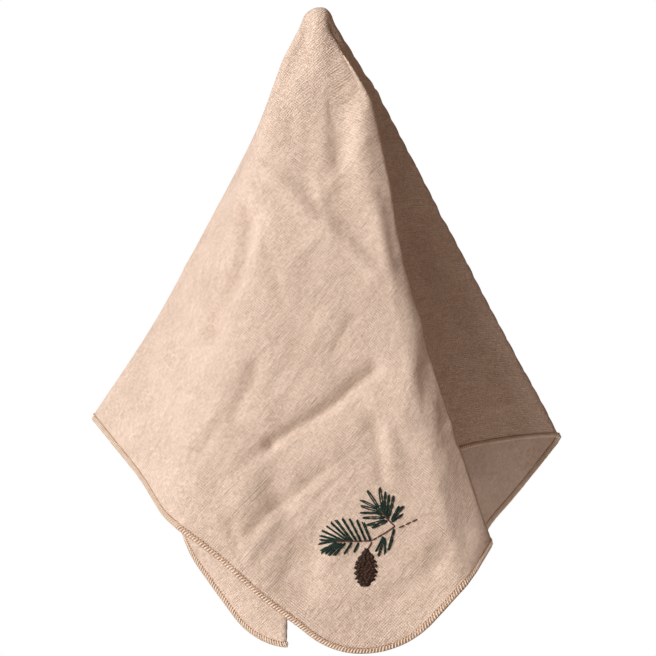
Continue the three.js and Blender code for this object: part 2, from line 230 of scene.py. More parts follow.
# The creases one can see, each a soft bank along a line of flat points in mm right of and down from
# the middle, with its rise (a trough's is negative) and half its width in mm
CREASES = (
    ("cross trough", -2.6, 3.0, ((9, 179), (-1, 186), (-10, 193), (-21, 199), (-30, 203), (-38, 208))),
    ("cross trough end", -1.2, 3.0, ((-38, 208), (-52, 219))),
    ("cross trough bank", -1.0, 6.5, ((-2, 188), (-14, 198), (-26, 206))),
    ("bright bank under it", 0.9, 6.5,
     ((10, 198), (-4, 207), (-22, 216), (-40, 226), (-56, 236), (-72, 245))),
    ("pressed diagonal", 1.1, 3.4, ((-38, 73), (-22, 89), (-16, 99), (-9, 108), (2, 120), (14, 137))),
    ("dark above the diagonal", -1.0, 6.0, ((-16, 84), (-2, 104), (8, 116))),
    ("wedge left ridge", 1.0, 3.0, ((-47, 91), (-53, 104), (-63, 117), (-70, 129), (-76, 141))),
    ("wedge hollow", -3.6, 5.2,
     ((-41, 101), (-42, 110), (-44, 116), (-48, 125), (-54, 134), (-60, 142), (-66, 149))),
    ("wedge right line", -0.5, 2.0, ((-34, 101), (-33, 113), (-31, 124), (-29, 135), (-28, 145))),
    ("flap valley", -2.6, 5.0, ((7, 16), (8, 26), (8, 34), (7, 41), (5, 50), (3, 60), (2, 69), (1, 79))),
    ("flap shoulder", 1.4, 4.5, ((9, 54), (7.5, 61), (8, 71), (8, 80), (8.5, 90), (11, 99))),
    ("upper left fold", -1.2, 5.0, ((-4, 42), (-8, 54), (-11, 68), (-12, 84))),
    ("flap crest below", 0.9, 3.4, ((15, 104), (18, 122), (22, 140))),
    ("flap knuckle", 1.8, 6.5,
     ((28, 140), (31, 155), (31, 166), (29, 176), (25.5, 186), (22.5, 195), (20, 204))),
    ("flap pad", 0.8, 6.0, ((36, 200), (38, 214), (40, 226))),
    ("lower trough", -1.4, 2.8, ((-15, 223), (-26, 230), (-36, 236), (-43, 241), (-50, 249))),
    ("left low plane", 1.8, 9.0, ((-48, 216), (-52, 232), (-50, 248), (-45, 264))),
    ("left hem plane", 1.5, 7.0, ((-72, 224), (-66, 237), (-58, 252))),
    ("lower hollow", -2.2, 6.0, ((-38, 228), (-34, 242))),
    ("lower ridge", 1.0, 4.0, ((-38, 241), (-48, 252), (-57, 265))),
    ("lower hem trough", -1.3, 4.0, ((-29, 250), (-31, 258), (-34, 266), (-36, 272))),
    ("low middle hollow", -2.2, 6.0, ((-20, 248), (-24, 262), (-28, 276))),
    ("little upright trough", -1.0, 2.6, ((-58, 243), (-54, 257))),
    ("upright trough", -1.1, 2.6, ((8, 204), (9, 218), (9, 230))),
    ("upright ridge", 0.7, 5.0, ((17, 178), (16, 194), (14, 208), (13, 226))),
    ("corner arc trough", -1.0, 4.2, ((35, 263), (26.5, 274), (13.5, 282), (2, 285))),
    ("corner arc ridge", 0.8, 4.0, ((28, 256), (21, 264), (14.5, 269))),
    ("corner outer ridge", 1.6, 7.0, ((54, 258), (48, 272), (42, 283), (34, 292), (25, 299))),
    ("left hook", -1.3, 3.4, ((-41, 171), (-45, 181), (-51, 189), (-53, 195))),
    ("left dash", -0.9, 3.2, ((-60, 198), (-68, 208))),
    ("needle line", -0.5, 1.8, ((-10.5, 227), (-22, 237), (-33, 247), (-46, 259))),
    ("upper dash", -0.8, 2.6, ((-16, 55), (-18, 66))),
    ("upper slant", 0.7, 2.4, ((-9, 88), (-7, 99), (-4, 110))),
    ("middle dash", -0.8, 2.6, ((2, 154), (-8, 169))),
    ("middle slant", 0.8, 3.6, ((-8, 150), (-24, 172), (-40, 196))),
    ("middle low slant", -0.8, 3.6, ((-18, 160), (-34, 184))),
    ("left long slant", -0.9, 6.0, ((-86, 150), (-98, 164), (-108, 176))),
    ("left upper slant", 0.8, 5.0, ((-58, 112), (-72, 136), (-80, 160))),
    ("left middle hollow", -0.9, 7.0, ((-64, 160), (-70, 180))),
    ("tip notch", -0.9, 2.2, ((-7, 13), (-9, 25))),
    ("tip left plane", -0.9, 3.0, ((-6, 14), (-10.5, 25), (-16, 37), (-26, 46))),
    ("panel fold", 0.8, 7.0, ((70, 78), (112, 122))),
    ("panel hollow", -0.8, 8.0, ((88, 70), (140, 108))),
)

# The small crumples of washed linen: how many, how far they stay from the tip, the way most of them
# run and how much it varies, and the ranges of half their length, their rise and half their width
CRUMPLE_COUNT = 400
CRUMPLES_FROM_TIP = 0.02
CRUMPLE_WAY = 3 * np.pi / 4
CRUMPLE_WAY_SPREAD = 0.55
CRUMPLE_HALF_RUN = (0.003, 0.015)
CRUMPLE_RISE = (0.0002, 0.0008)
CRUMPLE_WIDTH = (0.0018, 0.0045)
CRUMPLE_SEED = 11
crumple_random = np.random.default_rng(CRUMPLE_SEED)


def crease_lift(right, down, rise, width, line):
    """How far one crease lifts a flat point: a bank along its line, dying away past its ends."""
    nearest = np.full(np.shape(right), np.inf)
    for start, end in zip(line[:-1], line[1:]):
        along = end - start
        off_right, off_down = right - start[0], down - start[1]
        share = np.clip((off_right * along[0] + off_down * along[1]) / (along @ along), 0, 1)
        beside = np.hypot(off_right - share * along[0], off_down - share * along[1])
        nearest = np.minimum(nearest, beside)
    return rise * np.exp(-((nearest / width) ** 2))


def small_crumples():
    """Short faint crumples all over the cloth, as washed linen keeps, most of them along one yarn."""
    rows = []
    while len(rows) < CRUMPLE_COUNT:
        middle = crumple_random.uniform(-HALF, HALF, 2) * np.sqrt(2)
        if not CRUMPLES_FROM_TIP < np.hypot(*middle) < cut_edge(np.arctan2(*middle)):
            continue
        way = crumple_random.normal(CRUMPLE_WAY, CRUMPLE_WAY_SPREAD)
        half_run = crumple_random.uniform(*CRUMPLE_HALF_RUN) * np.array([np.cos(way), np.sin(way)])
        rise = crumple_random.uniform(*CRUMPLE_RISE) * crumple_random.choice([-1, 1])
        width = crumple_random.uniform(*CRUMPLE_WIDTH)
        rows.append((rise, width, np.array([middle - half_run, middle + half_run])))
    return rows


crease_rows = [(rise / 1000, width / 1000, np.array(line) / 1000) for _, rise, width, line in CREASES]
crease_rows += small_crumples()

# half the distance between the two places from which the direction of a surface is taken
PROBE = 0.0004


def outward(surface, right, down):
    """Outward direction of a surface that is given as a function of the flat place."""
    falling = surface(right, down + PROBE) - surface(right, down - PROBE)
    across = surface(right + PROBE, down) - surface(right - PROBE, down)
    return unit(np.cross(falling, across))


def creased(right, down):
    """Where a point of the flat square hangs, with its creases."""
    lift = sum(crease_lift(right, down, *row) for row in crease_rows)
    return hang(right, down) + lift[..., None] * outward(hang, right, down)


# The sheet is a net of square rings, each fitted to the rounded square, with its cells closer
# together on the quarter that hangs in front
FRONT_CELLS = 148
REAR_CELLS = 72
CELLS = FRONT_CELLS + REAR_CELLS
net_line = np.append(np.linspace(-1, 0, REAR_CELLS, endpoint=False), np.linspace(0, 1, FRONT_CELLS + 1))
across_net, up_net = np.meshgrid(-net_line, net_line)
net_bearing = np.arctan2(across_net, up_net)
ring = np.maximum(np.abs(across_net), np.abs(up_net))
past_ring = (np.hypot(across_net, up_net) / np.maximum(ring, NEAR_ZERO)).clip(1)
fit = cut_edge(net_bearing + np.pi / 4) / past_ring
warp_side, weft_side = across_net * fit, up_net * fit
net_right, net_down = (warp_side + weft_side) / np.sqrt(2), (weft_side - warp_side) / np.sqrt(2)
net_places = creased(net_right, net_down).reshape(-1, 3)
corner = np.arange((CELLS + 1) ** 2).reshape(CELLS + 1, CELLS + 1)
cell_corners = [corner[:-1, :-1], corner[:-1, 1:], corner[1:, 1:], corner[1:, :-1]]
net_faces = np.stack(cell_corners, -1).reshape(-1, 4)

sheet_mesh = bpy.data.meshes.new("linen_sheet")
sheet_mesh.from_pydata(net_places.tolist(), [], net_faces.tolist())
sheet_mesh.polygons.foreach_set("use_smooth", np.ones(len(net_faces), bool))
loop_corner = np.zeros(len(sheet_mesh.loops), int)
sheet_mesh.loops.foreach_get("vertex_index", loop_corner)
yarn_map = sheet_mesh.uv_layers.new(name="yarns")
yarn_places = np.stack([warp_side, weft_side], -1).reshape(-1, 2) / SIDE + 0.5
yarn_map.data.foreach_set("uv", yarn_places[loop_corner].ravel())
in_from_arc = np.abs(np.stack([warp_side, weft_side], -1)) - (HALF - CORNER_RADIUS)
to_arc = np.linalg.norm(np.maximum(in_from_arc, 0), axis=-1) + np.minimum(in_from_arc.max(-1), 0)
edge_mark = sheet_mesh.attributes.new("from_edge", "FLOAT", "POINT")
edge_mark.data.foreach_set("value", (CORNER_RADIUS - to_arc).ravel())

sheet = bpy.data.objects.new("linen_sheet", sheet_mesh)
bpy.context.scene.collection.objects.link(sheet)
thicken = sheet.modifiers.new("thickness", "SOLIDIFY")
thicken.thickness = SHEET_THICKNESS
thicken.offset = 0


def settled(made, name):
    """A plain mesh object of what an object's modifiers make; the first object is removed."""
    seen = made.evaluated_get(bpy.context.evaluated_depsgraph_get())
    mesh = bpy.data.meshes.new_from_object(seen)
    mesh.name = name
    bpy.data.objects.remove(made)
    plain = bpy.data.objects.new(name, mesh)
    bpy.context.scene.collection.objects.link(plain)
    return plain


cloth = settled(sheet, "napkin_linen")


class Wire:
    """One socket of a node tree. Arithmetic on it adds Math nodes to that tree."""

    def __init__(self, tree, socket=None):
        self.tree = tree
        self.socket = socket

    def node(self, kind, settings=None, sockets=None, out=0):
        """Adds a node, makes its settings, then fills or links its sockets."""
        made = self.tree.nodes.new(kind)
        for name, value in (settings or {}).items():
            setattr(made, name, value)
        for key, value in (sockets or {}).items():
            if isinstance(value, Wire):
                self.tree.links.new(value.socket, made.inputs[key])
            else:
                made.inputs[key].default_value = value
        return Wire(self.tree, made.outputs[out] if made.outputs else None)

    def math(self, operation, *values):
        """One operation of a Math node on its values."""
        return self.node("ShaderNodeMath", {"operation": operation}, dict(enumerate(values)))

    def mix(self, low, high, blend="MIX"):
        """A colour from low to high as this value goes from 0 to 1."""
        settings = {"data_type": "RGBA", "blend_type": blend}
        return self.node("ShaderNodeMix", settings, {0: self, 6: low, 7: high}, out=2)

    def smooth(self, low, high):
        """0 below low and 1 above high, with a soft step between."""
        settings = {"interpolation_type": "SMOOTHSTEP"}
        return self.node("ShaderNodeMapRange", settings, {0: self, 1: low, 2: high})

    def __add__(self, other):
        return self.math("ADD", self, other)

    def __radd__(self, other):
        return self.math("ADD", other, self)

    def __sub__(self, other):
        return self.math("SUBTRACT", self, other)

    def __rsub__(self, other):
        return self.math("SUBTRACT", other, self)

    def __mul__(self, other):
        return self.math("MULTIPLY", self, other)

    def __truediv__(self, other):
        return self.math("DIVIDE", self, other)


def new_finish(name):
    """An empty material, as a wire into its node tree."""
    made = bpy.data.materials.new(name)
    made.use_nodes = True
    made.node_tree.nodes.clear()
    return made, Wire(made.node_tree)


# Linen: a plain weave of uneven yarns that run along the hems, thick and thin by turns. The sizes of
# its yarns, slubs, grain and patches are in mm on the flat cloth.
LINEN_LIGHT = (1.0, 0.79, 0.645, 1)
LINEN_DARK = (0.48, 0.32, 0.22, 1)
# the cloth under the overlock band is multiplied darker: partly the tone of the dense thread beneath,
# partly painted shade in the gaps between its stitches
BAND_THREAD_AND_SHADE = (0.78, 0.62, 0.48, 1)
BAND_THREAD_AND_SHADE_SHARE = 0.8
LIGHT_THROUGH = (0.74, 0.56, 0.43, 1)
YARN_PITCH = 0.95
YARN_WANDER = 0.5
YARN_LEAST, YARN_SWELL = 0.55, 0.9
SLUB_WIDTH, SLUB_LENGTH = 0.5, 3.0
THICK_WIDTH, THICK_LENGTH = 0.6, 22.0
GRAIN_SIZE, WANDER_SIZE, MOTTLE_SIZE = 0.36, 9.0, 14.0
RUMPLE_WIDTH, RUMPLE_LENGTH = 9.0, 3.2
PUCKER_WIDTH, PUCKER_LENGTH = 3.6, 3.0

# where each noise steps from dark to light, and where the overlock band ends, in metres from the edge
SLUB_STEP, GRAIN_STEP, MOTTLE_STEP = (0.40, 0.60), (0.36, 0.64), (0.3, 0.7)
THICK_STEP, OPEN_STEP = (0.60, 0.72), (0.38, 0.6)
BAND_END = (0.0018, 0.0034)

# how much each of them counts in the shade and in the height of the cloth, and how open the weave is
SLUB_SHADE, WEAVE_SHADE, GRAIN_SHADE, MOTTLE_SHADE, THICK_SHADE = 0.34, 0.36, 0.46, 0.14, 0.16
SHADE_DROP = 0.08
WEAVE_RISE, GRAIN_RISE, SLUB_RISE, THICK_RISE, RUMPLE_RISE, PUCKER_RISE = 0.30, 0.40, 0.70, 0.16, 0.75, 0.45
OPEN_LEAST, OPEN_MORE = 0.04, 0.20

linen, wire = new_finish("washed_linen")
yarns = wire.node("ShaderNodeUVMap", {"uv_map": "yarns"})
scaled = wire.node("ShaderNodeVectorMath", {"operation": "SCALE"}, {0: yarns, "Scale": SIDE * 1000})
split = wire.node("ShaderNodeSeparateXYZ", sockets={0: scaled})
warp, weft = split, Wire(split.tree, split.socket.node.outputs[1])


def stretched_noise(across, along, offset, detail=2.0):
    """Noise in 0 to 1 with its own grain size in mm along the two yarn directions."""
    place = wire.node("ShaderNodeCombineXYZ", sockets={0: warp / across, 1: weft / along, 2: offset})
    return wire.node("ShaderNodeTexNoise", sockets={"Vector": place, "Scale": 1.0, "Detail": detail})


wander = stretched_noise(WANDER_SIZE, WANDER_SIZE, offset=3.1)
warp_slub = stretched_noise(SLUB_WIDTH, SLUB_LENGTH, offset=0.0)
weft_slub = stretched_noise(SLUB_LENGTH, SLUB_WIDTH, offset=7.7)
thick_warp = stretched_noise(THICK_WIDTH, THICK_LENGTH, offset=4.4)
thick_weft = stretched_noise(THICK_LENGTH, THICK_WIDTH, offset=9.9)
grain = stretched_noise(GRAIN_SIZE, GRAIN_SIZE, offset=2.2)
mottle = stretched_noise(MOTTLE_SIZE, MOTTLE_SIZE, offset=5.5, detail=3.0)
rumple = stretched_noise(RUMPLE_WIDTH, RUMPLE_LENGTH, offset=6.6, detail=3.0)
pucker = stretched_noise(PUCKER_WIDTH, PUCKER_LENGTH, offset=8.8)


def yarn_wave(side):
    """Swings once over and once under for each pair of yarns."""
    phase = (side + wander * YARN_WANDER) * (np.pi / YARN_PITCH)
    return phase.math("COSINE", phase)


def yarn_round(wave, on_top, slub):
    """The round of one set of yarns, highest where it lies on top, swollen by its slubs."""
    return wave.math("ABSOLUTE", wave) * on_top * (YARN_LEAST + slub * YARN_SWELL)


warp_wave, weft_wave = yarn_wave(warp), yarn_wave(weft)
over = warp_wave * weft_wave * 0.5
weave = yarn_round(warp_wave, 0.5 + over, warp_slub) + yarn_round(weft_wave, 0.5 - over, weft_slub)
slubs = (warp_slub + weft_slub) * 0.5
thick = thick_warp.smooth(*THICK_STEP) + thick_weft.smooth(*THICK_STEP)
shade = slubs.smooth(*SLUB_STEP) * SLUB_SHADE + weave * WEAVE_SHADE
shade = shade + grain.smooth(*GRAIN_STEP) * GRAIN_SHADE
shade = shade + mottle.smooth(*MOTTLE_STEP) * MOTTLE_SHADE + thick * THICK_SHADE - SHADE_DROP
from_edge = wire.node("ShaderNodeAttribute", {"attribute_name": "from_edge"}, out=2)
# painted shade: the band's cloth is darkened, partly for the thread beneath it, partly for the shade
# between its stitches
under_band = 1 - from_edge.smooth(*BAND_END)
plain_colour = shade.mix(LINEN_DARK, LINEN_LIGHT)
linen_colour = (under_band * BAND_THREAD_AND_SHADE_SHARE).mix(plain_colour, BAND_THREAD_AND_SHADE, blend="MULTIPLY")
height = weave * WEAVE_RISE + grain * GRAIN_RISE + slubs * SLUB_RISE + thick * THICK_RISE
height = height + rumple * RUMPLE_RISE + pucker * PUCKER_RISE
bump = wire.node("ShaderNodeBump", sockets={"Strength": 0.9, "Distance": 0.001, "Height": height})
solid_yarn = wire.node("ShaderNodeBsdfPrincipled", sockets={
    "Base Color": linen_colour, "Roughness": 0.9, "Normal": bump,
    "Sheen Weight": 0.2, "Sheen Roughness": 0.5, "Specular IOR Level": 0.2,
})
light_through = wire.node("ShaderNodeBsdfTranslucent", sockets={"Color": LIGHT_THROUGH, "Normal": bump})
open_weave = OPEN_LEAST + (1 - grain.smooth(*OPEN_STEP)) * OPEN_MORE
surface = wire.node("ShaderNodeMixShader", sockets={0: open_weave, 1: solid_yarn, 2: light_through})
wire.node("ShaderNodeOutputMaterial", sockets={"Surface": surface})
cloth.data.materials.clear()
cloth.data.materials.append(linen)

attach(cloth, "root")
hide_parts("napkin_cloth")


# Overlocked edge: one row of slanting tan thread stitches that wraps the cut edge of the cloth all
# the way round, with a finer needle thread along its inner side, sewn by machine. That needle
# thread is dark as painted shade: it stands for the shadowed holes where the needle went in.

STITCH_PITCH = 0.0014
BAND_WIDTH = 0.0024
BAND_HEIGHT = 0.0012
EDGE_OVERHANG = 0.0002
OVERLOCK_THREAD = 0.0003
STITCH_SLANT = np.radians(24)
BAND_UNEVENNESS = 0.08
NEEDLE_STITCH = 0.0003
NEEDLE_HEIGHT = 0.00132
NEEDLE_THREAD = 0.00022
NEEDLE_UNEVENNESS = 0.12
LOOP_CORNERS = 10
HEM_THREAD_SIDES = 5
EDGE_PLACES = 7200

# the places of the stitches, evenly spaced along the cut edge of the flat cloth
fine_bearing = np.linspace(0, FULL_TURN, EDGE_PLACES, endpoint=False)
fine_edge = cut_edge(fine_bearing)[:, None] * np.stack([np.sin(fine_bearing), np.cos(fine_bearing)], -1)
fine_step = np.linalg.norm(np.roll(fine_edge, -1, 0) - fine_edge, axis=1)
edge_run = np.append(0, np.cumsum(fine_step))
stitch_count = round(edge_run[-1] / STITCH_PITCH)
stitch_run = np.arange(stitch_count) / stitch_count * edge_run[-1]
edge_bearing = np.interp(stitch_run, edge_run, np.append(fine_bearing, FULL_TURN))
edge_place = cut_edge(edge_bearing)[:, None] * np.stack([np.sin(edge_bearing), np.cos(edge_bearing)], -1)
edge_way = unit(np.roll(edge_place, -1, 0) - np.roll(edge_place, 1, 0))
inward = np.stack([edge_way[:, 1], -edge_way[:, 0]], -1)
inward *= -np.sign((inward * edge_place).sum(-1, keepdims=True))


def points_mesh(name, places, edges=(), **vectors):
    """A mesh of bare points, or of lines between them, with named vectors on its points."""
    mesh = bpy.data.meshes.new(name)
    mesh.from_pydata(np.asarray(places).tolist(), list(edges), [])
    for label, values in vectors.items():
        mesh.attributes.new(label, "FLOAT_VECTOR", "POINT").data.foreach_set("vector", np.ravel(values))
    made = bpy.data.objects.new(name, mesh)
    bpy.context.scene.collection.objects.link(made)
    return made


def hem_points(name, inset):
    """Points along the hem at a distance in from the cut edge, with the ways along and out of it."""
    flat = edge_place + inward * inset
    places = creased(*flat.T)
    along = unit(np.roll(places, -1, 0) - np.roll(places, 1, 0))
    out = unit(creased(*(flat - inward * PROBE).T) - places)
    return points_mesh(name, places, along=along, out=out)


def sewing_tree(name, inputs):
    """A new Geometry Nodes tree with named inputs. Returns the tree, a wire, and its inputs."""
    tree = bpy.data.node_groups.new(name, "GeometryNodeTree")
    tree.interface.new_socket("Geometry", in_out="INPUT", socket_type="NodeSocketGeometry")
    for label, kind in inputs.items():
        tree.interface.new_socket(label, in_out="INPUT", socket_type=f"NodeSocket{kind}")
    tree.interface.new_socket("Geometry", in_out="OUTPUT", socket_type="NodeSocketGeometry")
    given = tree.nodes.new("NodeGroupInput")
    sockets = {socket.name: Wire(tree, socket) for socket in given.outputs if socket.name}
    return tree, Wire(tree), sockets


def sew(points, tree, name, values):
    """Runs a sewing tree on an object's points and keeps the result as a plain mesh."""
    run = points.modifiers.new("sewing", "NODES")
    run.node_group = tree
    for item in tree.interface.items_tree:
        if item.in_out == "INPUT" and item.name in values:
            run[item.identifier] = values[item.name]
    return settled(points, name)


def round_thread(wire, path, radius, sides):
    """A thread along a path. Its points keep their length along it and their place round it."""
    length = wire.node("GeometryNodeSplineParameter", out=1)
    measured = wire.node("GeometryNodeStoreNamedAttribute", {"data_type": "FLOAT"}, {
        "Geometry": path, "Name": "run", "Value": length,
    })
    section = wire.node("GeometryNodeCurvePrimitiveCircle", sockets={"Resolution": sides, "Radius": radius})
    position = wire.node("GeometryNodeInputPosition")
    way = wire.node("ShaderNodeVectorMath", {"operation": "NORMALIZE"}, {0: position})
    turned = wire.node("GeometryNodeStoreNamedAttribute", {"data_type": "FLOAT_VECTOR"}, {
        "Geometry": section, "Name": "round", "Value": way,
    })
    return wire.node("GeometryNodeCurveToMesh", sockets={
        "Curve": measured, "Profile Curve": turned, "Fill Caps": True,
    })


def finish_tree(wire, geometry, thread):
    """Ends a sewing tree: instances made real, smooth, in their thread."""
    real = wire.node("GeometryNodeRealizeInstances", sockets={0: geometry})
    smooth = wire.node("GeometryNodeSetShadeSmooth", sockets={0: real})
    dressed = wire.node("GeometryNodeSetMaterial", sockets={"Geometry": smooth, "Material": thread})
    wire.node("NodeGroupOutput", sockets={0: dressed})


# one stitch is a flattened loop of thread round the edge, set down at every point of the hem
edge_tree, wire, given = sewing_tree("edge_stitches", {
    "Thread Radius": "Float", "Stitch Width": "Float", "Stitch Height": "Float", "Slant": "Float",
    "Unevenness": "Float", "Seed": "Int", "Thread": "Material",
})
loop = wire.node("GeometryNodeCurvePrimitiveCircle", sockets={"Resolution": LOOP_CORNERS, "Radius": 1.0})
upright = wire.node("GeometryNodeTransform", sockets={0: loop, "Rotation": (0, np.pi / 2, 0)})
loop_size = wire.node("ShaderNodeCombineXYZ", sockets={
    0: 1.0, 1: given["Stitch Width"] * 0.5, 2: given["Stitch Height"] * 0.5,
})
turn = wire.node("ShaderNodeCombineXYZ", sockets={2: given["Slant"]})
turned = wire.node("FunctionNodeEulerToRotation", sockets={0: turn})
slanted = wire.node("GeometryNodeTransform", sockets={0: upright, "Rotation": turned, "Scale": loop_size})
wrap = round_thread(wire, slanted, given["Thread Radius"], HEM_THREAD_SIDES)
named_vector = {"data_type": "FLOAT_VECTOR"}
along_hem = wire.node("GeometryNodeInputNamedAttribute", named_vector, {"Name": "along"})
out_of_hem = wire.node("GeometryNodeInputNamedAttribute", named_vector, {"Name": "out"})
hem_axes = {"primary_axis": "X", "secondary_axis": "Y"}
facing = wire.node("FunctionNodeAxesToRotation", hem_axes, {0: along_hem, 1: out_of_hem})
uneven = wire.node("FunctionNodeRandomValue", {"data_type": "FLOAT"}, {
    2: 1 - given["Unevenness"], 3: 1 + given["Unevenness"], "Seed": given["Seed"],
}, out=1)
dots = wire.node("GeometryNodeMeshToPoints", sockets={"Mesh": given["Geometry"]})
stitches = wire.node("GeometryNodeInstanceOnPoints", sockets={
    "Points": dots, "Instance": wrap, "Rotation": facing, "Scale": uneven,
})
finish_tree(wire, stitches, given["Thread"])


# Cotton thread: the length of one twist in metres, how many fibres and patches of shade there are to
# the metre, and how much the plies, the fibres and the patches count in its shade
THREAD_TWIST = 0.0012
FIBRES, PATCHES = 2600.0, 300.0
PLY_SHADE, FIBRE_SHADE, PATCH_SHADE = 0.5, 0.25, 0.3
FIBRE_RISE = 0.4
THREAD_STEP = (0.3, 0.7)


def cotton_thread(name, dark, light):
    """Mercerised cotton of two twisted plies, with a soft gloss and small uneven patches of shade."""
    made, wire = new_finish(name)
    run = wire.node("ShaderNodeAttribute", {"attribute_name": "run"}, out=2)
    around = wire.node("ShaderNodeAttribute", {"attribute_name": "round"}, out=1)
    beside = wire.node("ShaderNodeSeparateXYZ", sockets={0: around})
    above = Wire(beside.tree, beside.socket.node.outputs[1])
    turn = run * (np.pi / THREAD_TWIST)
    ply = above * turn.math("COSINE", turn) + beside * turn.math("SINE", turn)
    ply = ply.math("ABSOLUTE", ply)
    place = wire.node("ShaderNodeTexCoord", out=3)
    fibre = wire.node("ShaderNodeTexNoise", sockets={"Vector": place, "Scale": FIBRES, "Detail": 2.0})
    patch = wire.node("ShaderNodeTexNoise", sockets={"Vector": place, "Scale": PATCHES, "Detail": 2.0})
    shade = ply * PLY_SHADE + fibre.smooth(*THREAD_STEP) * FIBRE_SHADE
    shade = shade + patch.smooth(*THREAD_STEP) * PATCH_SHADE
    bump = wire.node("ShaderNodeBump", sockets={
        "Strength": 0.8, "Distance": 0.0001, "Height": ply + fibre * FIBRE_RISE,
    })
    surface = wire.node("ShaderNodeBsdfPrincipled", sockets={
        "Base Color": shade.mix((*dark, 1), (*light, 1)), "Roughness": 0.6, "Normal": bump,
        "Specular IOR Level": 0.2, "Sheen Weight": 0.05,
    })
    wire.node("ShaderNodeOutputMaterial", sockets={"Surface": surface})
    return made


tan_thread = cotton_thread("tan_thread", dark=(0.76, 0.58, 0.43), light=(1.0, 0.87, 0.73))
# painted shade: the needle thread is made dark brown to stand for the shade in the needle holes along the
# band's inner side
needle_hole_shade_thread = cotton_thread("needle_hole_shade_thread", dark=(0.12, 0.05, 0.022), light=(0.32, 0.15, 0.075))

band_middle = BAND_WIDTH / 2 + OVERLOCK_THREAD - EDGE_OVERHANG
overlock = sew(hem_points("band_points", band_middle), edge_tree, "overlock_edge", {
    "Thread Radius": OVERLOCK_THREAD, "Stitch Width": BAND_WIDTH, "Stitch Height": BAND_HEIGHT,
    "Slant": STITCH_SLANT, "Unevenness": BAND_UNEVENNESS, "Seed": 3, "Thread": tan_thread,
})
# short dark stitches along the band's inner side: painted shade of the needle holes
needle_row = sew(hem_points("needle_points", BAND_WIDTH), edge_tree, "edge_needle_row", {
    "Thread Radius": NEEDLE_THREAD, "Stitch Width": NEEDLE_STITCH, "Stitch Height": NEEDLE_HEIGHT,
    "Slant": np.pi / 2, "Unevenness": NEEDLE_UNEVENNESS, "Seed": 8, "Thread": needle_hole_shade_thread,
})

for piece in (overlock, needle_row):
    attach(piece, "root")


# Embroidery: a pine sprig with one cone on the front corner. Its needles, twig and cone are cotton
# threads laid on the linen by hand in short straight stitches, each going down into it at both ends.

# where the sprig's joint is on the flat cloth in metres, and how far the sprig is turned there
SPRIG_RIGHT, SPRIG_DOWN = 0.0027, 0.257
SPRIG_TURN = np.radians(5.4)

# the stitches in mm, how steeply they leave the cloth, and how far hand sewing strays
LONGEST_STITCH = 3.4
STITCH_DEPTH = 0.2
STITCH_POINTS = 6
STITCH_SWELL = 0.5
THREAD_SIDES = 6
THREADS_APART = 0.48
NEEDLE_RISE = 0.4
PLACE_STRAY = 0.08
LENGTH_STRAY = 0.25
HAND_SEED = 23
hand = np.random.default_rng(HAND_SEED)


class LaidThreads:
    """Stitches of one thread, gathered as lines in the sprig's own mm, right of and below its joint."""

    def __init__(self):
        self.flat, self.lift, self.edges = [], [], []

    def stitch(self, places, rise):
        """One stitch along places, that bows up out of the cloth."""
        first = sum(len(part) for part in self.flat)
        swell = np.sin(np.linspace(0, np.pi, len(places))) ** STITCH_SWELL
        self.flat.append(places)
        self.lift.append((rise + STITCH_DEPTH) * swell - STITCH_DEPTH)
        self.edges += [(first + step, first + step + 1) for step in range(len(places) - 1)]

    def line(self, start, end, rise=0.3, bow=0.0, gap=0.0):
        """A row of stitches from start to end that bows aside by bow."""
        start, end = np.array(start, float), np.array(end, float)
        length = np.hypot(*(end - start))
        aside = np.array([start[1] - end[1], end[0] - start[0]]) / length
        cuts = np.linspace(0, 1, max(1, round(length / LONGEST_STITCH)) + 1)
        for low, high in zip(cuts[:-1], cuts[1:]):
            share = np.linspace(low, high - gap / length, STITCH_POINTS)[:, None]
            self.stitch(start + share * (end - start) + bow * np.sin(np.pi * share) * aside, rise)

    def needle(self, right, below, angle, length, bow=0.0):
        """One pine needle of two threads side by side, that part in its middle where it has a bow."""
        way = np.array([np.cos(np.radians(angle)), -np.sin(np.radians(angle))])
        base = np.array([right, below]) + hand.normal(0, PLACE_STRAY, 2)
        for side in (-1, 1):
            beside = side * THREADS_APART / 2 * np.array([-way[1], way[0]])
            tip = base + way * (length + hand.normal(0, LENGTH_STRAY)) + hand.normal(0, PLACE_STRAY, 2)
            self.line(base + beside, tip + beside, rise=NEEDLE_RISE, bow=side * bow)

    def lay(self, name, thread, radius):
        """The stitches as one mesh on the creased linen."""
        right, below = np.concatenate(self.flat).T / 1000
        flat_right = SPRIG_RIGHT + right * np.cos(SPRIG_TURN) - below * np.sin(SPRIG_TURN)
        flat_down = SPRIG_DOWN + right * np.sin(SPRIG_TURN) + below * np.cos(SPRIG_TURN)
        lift = np.concatenate(self.lift)[:, None] / 1000 + SHEET_THICKNESS / 2
        places = creased(flat_right, flat_down) + lift * outward(creased, flat_right, flat_down)
        lines = points_mesh(name, places, self.edges)
        return sew(lines, laid_tree, name, {"Thread Radius": radius, "Thread": thread})


laid_tree, wire, given = sewing_tree("laid_threads", {"Thread Radius": "Float", "Thread": "Material"})
lines = wire.node("GeometryNodeMeshToCurve", sockets={0: given["Geometry"]})
laid = round_thread(wire, lines, given["Thread Radius"], THREAD_SIDES)
finish_tree(wire, laid, given["Thread"])

green_thread = cotton_thread("pine_green_thread", dark=(0.001, 0.006, 0.0035), light=(0.009, 0.036, 0.022))
twig_thread = cotton_thread("twig_thread", dark=(0.045, 0.014, 0.010), light=(0.17, 0.068, 0.050))
cone_thread = cotton_thread("cone_thread", dark=(0.008, 0.003, 0.0015), light=(0.048, 0.019, 0.010))
scale_thread = cotton_thread("cone_scale_thread", dark=(0.03, 0.013, 0.008), light=(0.14, 0.07, 0.044))

